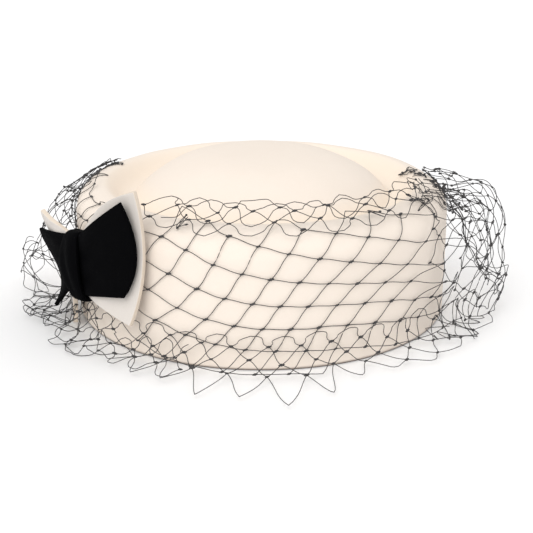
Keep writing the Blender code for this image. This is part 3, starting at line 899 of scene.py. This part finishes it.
def wall_net(form, lead, rng):
    """The net's main layer, from puff to puff: threads and knots of the skewed lattice."""
    column, row = np.meshgrid(np.arange(-16.0, 26.0), np.arange(-5.0, 12.0), indexing="ij")
    along, down = lattice(column, row)
    turn = turn_of(form, along)
    side = smooth_step((turn - 50.0) / 14.0) + smooth_step((-66.0 - turn) / 12.0)
    lowest = np.minimum(form.length_at(turn) - 0.001, WALL_DOWN + side * WALL_MORE)
    inside = (turn > WALL_TURNS[0]) & (turn < WALL_TURNS[1]) & (down > 0.001) & (down < lowest)
    flat = np.stack([turn, down], axis=-1)
    starts, ends = [], []
    degree = np.zeros(inside.shape, int)
    for step in ((1, 0), (0, 1)):
        both = inside[: inside.shape[0] - step[0], : inside.shape[1] - step[1]] & inside[step[0] :, step[1] :]
        near = np.nonzero(both)
        far = (near[0] + step[0], near[1] + step[1])
        np.add.at(degree, near, 1)
        np.add.at(degree, far, 1)
        starts.append(flat[near if step[0] else far])
        ends.append(flat[far if step[0] else near])
    starts, ends = np.vstack(starts), np.vstack(ends)
    threads = threads_between(form, starts, ends, 0.0, 11, np.full((len(starts), 2), lead), rng)
    tied = flat[inside & (degree > 2)]
    return threads, net_place(form, tied[:, 0], tied[:, 1], 0.0, 11), knot_axis(form, tied, 0.0, 11)


def band_net(form, turns, levels, off, seed, lead, loops, rng):
    """A strip of symmetrical diamonds along the veil. levels gives each row's length down, from free loops
    to free loops, as a function of the turn, and every second row stands midway between these turns. lead
    is the threads' lead at the knots, and loops their leads at the first and the last row's free loops."""
    between = np.gradient(turns) / 2
    rows, curve = [], []
    row_leads = (loops[0], *[lead] * (len(levels) - 2), loops[1])
    for number, (level, row_lead) in enumerate(zip(levels, row_leads)):
        at = turns + (between if number % 2 else 0.0)
        at = at + rng.normal(0.0, STRAY_ALONG, len(at)) * between
        rows.append(np.column_stack([at, level(at) + rng.normal(0.0, STRAY_DOWN, len(at))]))
        curve.append(np.full(len(at), row_lead))
    starts, ends, leads = [], [], []
    for number in range(len(rows) - 1):
        plain, shifted = (number + 1, number) if number % 2 else (number, number + 1)
        starts += [rows[plain], rows[shifted][:-1]]
        ends += [rows[shifted], rows[plain][1:]]
        leads += [np.column_stack([curve[plain], curve[shifted]])]
        leads += [np.column_stack([curve[shifted][:-1], curve[plain][1:]])]
    starts, ends, leads = np.vstack(starts), np.vstack(ends), np.vstack(leads)
    threads = threads_between(form, starts, ends, off, seed, leads, rng)
    tied = np.vstack(rows[1:-1])
    return threads, net_place(form, tied[:, 0], tied[:, 1], off, seed), knot_axis(form, tied, off, seed)


def tangle(centre, size, count, rng):
    """Crumpled threads about a place: smooth loops through random points of an ellipsoid, each made of
    three threads end to end. Fewer than half of the places along them have a knot."""
    corners = rng.normal(0.0, 0.5, (count, 5, 3)) * np.array(size) + np.array(centre)
    span = THREAD_POINTS - 1
    path = cubic_pieces(corners, np.linspace(0.0, 4.0, 3 * span + 1))
    path[..., 2] = np.maximum(path[..., 2], 0.0006)
    heading = unit(np.gradient(path, axis=1)[:, ::6].reshape(-1, 3))
    pieces = np.concatenate([path[:, first : first + THREAD_POINTS] for first in range(0, 3 * span, span)])
    kept = rng.random(len(heading)) < 0.45
    return pieces, path[:, ::6].reshape(-1, 3)[kept], heading[kept]


# Where the net is gathered: turn, way off the wall, height, size and number of loops.
TANGLES = (
    (101.0, -0.0170, 0.0650, 0.0045, 3),
    (94.0, -0.0130, 0.0640, 0.0050, 3),
    (86.0, -0.0080, 0.0620, 0.0055, 2),
    (78.0, -0.0010, 0.0580, 0.0070, 2),
    (58.0, -0.0040, 0.0660, 0.0080, 2),
    (36.0, -0.0070, 0.0680, 0.0070, 1),
    (-24.0, -0.0060, 0.0680, 0.0070, 1),
    (-57.0, 0.0040, 0.0130, 0.0080, 1),
    (-66.0, 0.0060, 0.0100, 0.0080, 1),
    (-96.0, 0.0000, 0.0560, 0.0090, 2),
    (-103.0, -0.0060, 0.0620, 0.0070, 2),
    (-110.0, -0.0120, 0.0640, 0.0050, 3),
    (55.0, 0.0080, 0.0060, 0.0080, 2),
)
# Rows of the skirt and the crumpled hem: how far up the skirt, at the front and at the sides.
SKIRT_ROWS = ((0.0, 0.0), (0.5, 0.16), (0.67, 0.42), (0.84, 0.70), (0.96, 0.9))
HEM_ROWS = ((0.0, 0.02), (0.3, 0.20), (0.5, 0.44), (0.8, 0.62))
# Rows of the folded top edge and its ruffle: length down from the edge.
FOLD_ROWS = (0.0135, 0.0070, 0.0005, -0.0060)
RUFFLE_ROWS = (0.0060, -0.0030, -0.0085)
# Two layers for each puff: both ends along the wall, way off the form and seed.
PUFF_LAYERS = (
    (0.108, 0.235, 0.0004, 81),
    (0.098, 0.235, -0.0070, 61),
    (-0.225, -0.146, 0.0004, 91),
    (-0.225, -0.152, -0.0070, 71),
)
PUFF_LEVELS, PUFF_MARGIN, PUFF_STEP = 10, 0.004, 0.0150


def out_of_crown(points, crown, clear=0.0007):
    """Moves points out of the crown's felt, straight away from the axis below the shoulder and away from
    the middle of the shoulder's bend above it."""
    half, bend = crown.width / 2, crown.shoulder
    ridge, shoulder = half - bend, crown.ridge_height - bend
    flat = points[..., :2] - AXIS
    radius = np.linalg.norm(flat, axis=-1) + TINY
    height = points[..., 2].copy()
    wall = (height < shoulder) & (radius > ridge) & (radius < half + clear)
    new_radius = np.where(wall, half + clear, radius)
    across, up = radius - ridge, height - shoulder
    reach = np.hypot(across, up) + TINY
    corner = (height >= shoulder) & (across > 0) & (reach < bend + clear)
    new_radius = np.where(corner, ridge + across / reach * (bend + clear), new_radius)
    height = np.where(corner, shoulder + up / reach * (bend + clear), height)
    top = (radius <= ridge) & (height > shoulder)
    height = np.where(top, np.maximum(height, top_height(radius, crown) + clear), height)
    flat = AXIS + flat * (new_radius / radius)[..., None]
    return np.concatenate([flat, height[..., None]], axis=-1)


def skirt_row(form, front, sides):
    """Length down of a row of the skirt, as a function of the turn: these shares of the skirt's depth up
    from the foot, at the front and at the sides."""

    def level(turn):
        aside = smooth_step((np.abs(turn + 4.0) - 24.0) / 16.0)
        depth = np.interp(turn, form.turns, form.skirt) + 0.003
        return form.length_at(turn) - depth * (front + (sides - front) * aside)

    return level


def puff_row(form, number):
    """Length down of a puff's row, as a function of the turn: even steps between two margins."""
    share = number / (PUFF_LEVELS - 1)
    return lambda turn: PUFF_MARGIN + (form.length_at(turn) - 2 * PUFF_MARGIN) * share


def edge_row(down):
    """The same length down at every turn."""
    return lambda turn: down


def make_veil(veil, crown, material):
    """The whole net: the main layer, the skirt at its foot, the folded top edge, its ruffle, the crumpled
    hem beside the bow, two layers for each puff and the tangles where the net is gathered and sewn."""
    form = VeilForm(crown)
    rng = np.random.default_rng(21)
    lead = veil.knot * 0.42
    skirt, hem = ([skirt_row(form, *row) for row in rows] for rows in (SKIRT_ROWS, HEM_ROWS))
    fold, ruffle = ([edge_row(down) for down in rows] for rows in (FOLD_ROWS, RUFFLE_ROWS))
    puff = [puff_row(form, number) for number in range(PUFF_LEVELS)]
    # Each strip's turns, rows, way off the form, seed, and leads of its free loops.
    strips = [
        (np.arange(-102.6, 100.0, 9.0), skirt, 0.0014, 31, (0.0010, 0.0070)),
        (np.arange(-40.0, 84.0, 12.4), fold, 0.0026, 41, (0.0060, 0.0060)),
        (np.arange(-33.0, 82.0, 15.0), ruffle, 0.0012, 51, (0.0060, 0.0060)),
        (np.arange(-84.0, -18.0, 6.8), hem, 0.0030, 35, (0.0030, 0.0040)),
    ]
    for first, last, off, seed in PUFF_LAYERS:
        turns = turn_of(form, np.arange(first, last, PUFF_STEP))
        turns = turns[(turns > form.turns[0] + 1.0) & (turns < form.turns[-1] - 1.0)]
        strips.append((turns, puff, off, seed, (0.0040, 0.0030)))
    parts = [wall_net(form, lead, rng)]
    parts += [band_net(form, *strip[:4], lead, strip[4], rng) for strip in strips]
    for turn, off, height, size, count in TANGLES:
        radius, angle = form.wall + off, math.radians(turn)
        centre = (AXIS[0] + radius * math.sin(angle), AXIS[1] - radius * math.cos(angle), height)
        parts.append(tangle(centre, (size, size, size * 0.6), count, rng))
    threads, places, axes = (np.concatenate([part[kind] for part in parts]) for kind in range(3))
    threads, places = out_of_crown(threads, crown), out_of_crown(places, crown)
    places[:, 2] = np.maximum(places[:, 2], KNOT_LOW)
    thread_points, thread_faces, lengths = tubes(threads, veil.thread / 2, 5)
    knot_points, knot_faces = knots_at(places, axes, veil.knot, rng)
    first = len(thread_points)
    faces = thread_faces + [[corner + first for corner in face] for face in knot_faces]
    points = np.vstack([thread_points, knot_points])
    # A knot has the thread's shade of one place, near its start.
    lengths = np.vstack([lengths, np.full((len(knot_points), 2), 0.0003)])
    return put_object("veil_threads", points, faces, material, lengths)


# Operators.


def settings():
    """The sizes and colours of the crown, the bow and the veil."""
    scene = bpy.context.scene
    return scene.pillbox_hat_crown, scene.pillbox_hat_bow, scene.pillbox_hat_veil


class PILLBOX_OT_crown(bpy.types.Operator):
    """Makes the felt crown in place of the plain shell"""

    bl_idname = "pillbox.crown"
    bl_label = "Crown"

    def execute(self, context):
        crown, _, _ = settings()
        # Where the channel's ring of painted bounce light lies, and how wide it is.
        middle = crown.width / 2 - crown.shoulder - crown.channel_width * RING_PLACE
        felt = felt_material("ivory_wool_felt", crown.colour, (middle, crown.channel_width * RING_WIDTH))
        shell = make_crown(crown, felt)
        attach(shell, "root")
        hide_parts("crown")
        return {"FINISHED"}


class PILLBOX_OT_bow(bpy.types.Operator):
    """Makes the bow's two felt layers and its band"""

    bl_idname = "pillbox.bow"
    bl_label = "Bow"

    def execute(self, context):
        crown, bow, _ = settings()
        ivory = felt_material("bow_ivory_wool_felt", bow.ivory_colour)
        # The cut edge gets a lighter, warmer copy of the ivory felt: painted warm light.
        cut_edge = felt_material("ivory_felt_cut_edge_painted_light", CUT_EDGE_PAINTED_LIGHT)
        black = felt_material("black_wool_felt", bow.black_colour)
        _, stand, black_stand, _ = stack_stands(bow)
        sizes = (bow.ivory_size, stand, bow.ivory_felt, IVORY_SWELL)
        ivory_layer = make_bow_layer("ivory_bow_felt", IVORY_LOBES, *sizes, bow, crown, ivory)
        sizes = (bow.black_size, black_stand, bow.black_felt, 0.0)
        black_layer = make_bow_layer("black_bow_felt", BLACK_LOBES, *sizes, bow, crown, black)
        ivory_layer.data.materials.append(cut_edge)
        ivory_layer.modifiers["thickness"].material_offset_rim = 1
        for layer, node, slot, cut, area in (
            (ivory_layer, "ivory_bow", "bow_ivory_felt", IVORY_CUT, IVORY_AREA),
            (black_layer, "black_bow", "black_felt", BLACK_CUT, BLACK_AREA),
        ):
            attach(layer, "root")
            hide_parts(node)
        band = make_band(bow, crown, black)
        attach(band, "root")
        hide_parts("bow_band")
        return {"FINISHED"}


class PILLBOX_OT_veil(bpy.types.Operator):
    """Makes the knotted net in place of the coarse one"""

    bl_idname = "pillbox.veil"
    bl_label = "Veil"

    def execute(self, context):
        crown, _, veil = settings()
        net = make_veil(veil, crown, thread_material(veil.colour))
        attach(net, "root")
        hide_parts("veil")
        return {"FINISHED"}


# The photograph's side and its camera's focal length in pixels, and the pixel of the foot of the hat's axis.
PHOTO_SIDE, FOCAL_LENGTH, AXIS_FOOT = 533.0, 1194.0, (261.6, 297.5)
SENSOR = 36.0
FLOOR_HALF = 6.0
SKY_STRENGTH = 0.78
# Each light's place, which it shines from towards the hat, its spread in degrees, strength and colour.
LIGHTS = {
    "key": ((-0.42, -0.92, 0.84), 50.0, 1.38, (1.0, 0.99, 0.97)),
    "fill": ((0.60, -0.20, 1.00), 80.0, 0.20, (0.97, 0.98, 1.0)),
}


class PILLBOX_OT_stage(bpy.types.Operator):
    """Makes the floor, the soft light and the camera"""

    bl_idname = "pillbox.stage"
    bl_label = "Stage"

    def execute(self, context):
        stage = context.scene.pillbox_hat_stage
        sides = [(-1, -1, 0), (1, -1, 0), (1, 1, 0), (-1, 1, 0)]
        corners = np.array(sides, float) * FLOOR_HALF
        floor = put_object("floor", corners, [[0, 1, 2, 3]], floor_material(stage.floor_colour))
        world = bpy.data.worlds.new("studio")
        world.use_nodes = True
        sky = world.node_tree.nodes["Background"].inputs
        sky["Color"].default_value = (1.0, 1.0, 1.0, 1.0)
        sky["Strength"].default_value = SKY_STRENGTH
        context.scene.world = world
        for name, (place, spread, power, colour) in LIGHTS.items():
            lamp = bpy.data.lights.new(name, "SUN")
            lamp.energy = power
            lamp.angle = math.radians(spread)
            lamp.color = colour
            obj = bpy.data.objects.new(name, lamp)
            obj.location = place
            aim = -np.array(place)
            level = math.hypot(aim[0], aim[1])
            obj.rotation_euler = (math.atan2(level, -aim[2]), 0.0, math.atan2(aim[1], aim[0]) - math.pi / 2)
            context.scene.collection.objects.link(obj)
        context.scene.view_settings.view_transform = "Standard"
        lens = bpy.data.cameras.new("camera")
        camera = bpy.data.objects.new("camera", lens)
        context.scene.collection.objects.link(camera)
        back, up = stage.distance * math.cos(stage.elevation), stage.distance * math.sin(stage.elevation)
        camera.location = (AXIS[0], AXIS[1] - back, up)
        right, down = (math.atan((pixel - PHOTO_SIDE / 2) / FOCAL_LENGTH) for pixel in AXIS_FOOT)
        camera.rotation_euler = (math.pi / 2 - stage.elevation + down, 0.0, right)
        lens.sensor_width = SENSOR
        lens.lens = SENSOR * FOCAL_LENGTH / PHOTO_SIDE
        lens.clip_start = 0.01
        context.scene.camera = camera
        return {"FINISHED"}


class PILLBOX_PT_panel(bpy.types.Panel):
    """Lists the pieces that the hat is made of"""

    bl_idname = "PILLBOX_PT_panel"
    bl_label = "Pillbox hat"
    bl_space_type = "VIEW_3D"
    bl_region_type = "UI"
    bl_category = "Hat"

    def draw(self, context):
        for operator in OPERATORS:
            self.layout.operator(operator.bl_idname)


GROUPS = {
    "pillbox_hat_crown": CrownSettings,
    "pillbox_hat_bow": BowSettings,
    "pillbox_hat_veil": VeilSettings,
    "pillbox_hat_stage": StageSettings,
}
OPERATORS = (PILLBOX_OT_crown, PILLBOX_OT_bow, PILLBOX_OT_veil, PILLBOX_OT_stage)
CLASSES = (*GROUPS.values(), *OPERATORS, PILLBOX_PT_panel)


def register():
    for kind in CLASSES:
        bpy.utils.register_class(kind)
    for name, group in GROUPS.items():
        setattr(bpy.types.Scene, name, bpy.props.PointerProperty(type=group))


def unregister():
    for name in GROUPS:
        delattr(bpy.types.Scene, name)
    for kind in reversed(CLASSES):
        bpy.utils.unregister_class(kind)


def main():
    """Registers the add-on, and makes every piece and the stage."""
    register()
    bpy.ops.pillbox.crown()
    bpy.ops.pillbox.bow()
    bpy.ops.pillbox.veil()
    bpy.ops.pillbox.stage()


if __name__ == "__main__":
    main()
